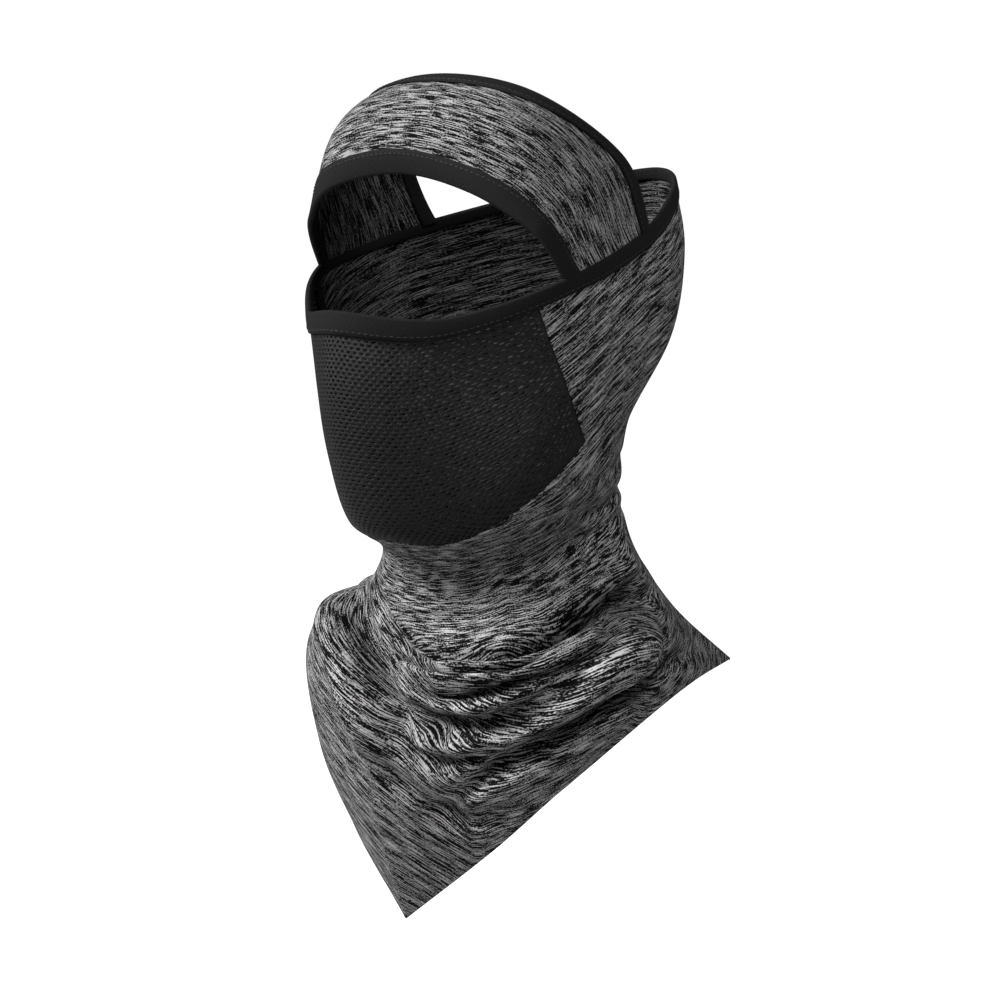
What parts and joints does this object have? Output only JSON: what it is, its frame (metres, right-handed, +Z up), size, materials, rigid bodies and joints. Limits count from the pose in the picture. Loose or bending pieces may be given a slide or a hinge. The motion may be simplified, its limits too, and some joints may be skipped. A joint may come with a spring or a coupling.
{
  "type": "balaclava",
  "caption": "Knitted balaclava with an open eye window, a perforated mask panel over nose and mouth, a pointed neck bib and a headband over the crown.",
  "frame": {"origin": "midway between the ears, where the wearer's head holds the balaclava up", "axes": "+Z up, -Y the way the wearer faces, +X towards the wearer's left ear"},
  "size_m": [0.179, 0.2841, 0.3938],
  "materials": {
    "body_knit": "heather grey and black jersey knit, matt",
    "band_knit": "heather grey and black jersey knit, streaks along the band",
    "mesh": "black perforated tricot, slight sheen",
    "binding": "black folded elastic binding, matt",
    "thread": "black sewing thread"
  },
  "bodies": {
    "mask": {"body_shell": "body_knit", "mesh_panel": "mesh", "rim_binding": "binding", "rim_stitching": "thread", "back_seam": "body_knit", "mesh_panel_seam": "mesh", "headband_root_left": "band_knit", "headband_root_right": "band_knit"},
    "headband": {"headband": "band_knit", "headband_front_binding": "binding", "headband_rear_binding": "binding", "headband_front_stitching": "thread", "headband_rear_stitching": "thread"}
  },
  "joints": [
    {"name": "headband_tilt", "type": "hinge", "parent": "mask", "child": "headband", "pos_m": [0, -0.01, 0], "axis": [1, 0, 0], "range_deg": [-15, 12], "deforming": ["headband_root_left", "headband_root_right"]}
  ]
}
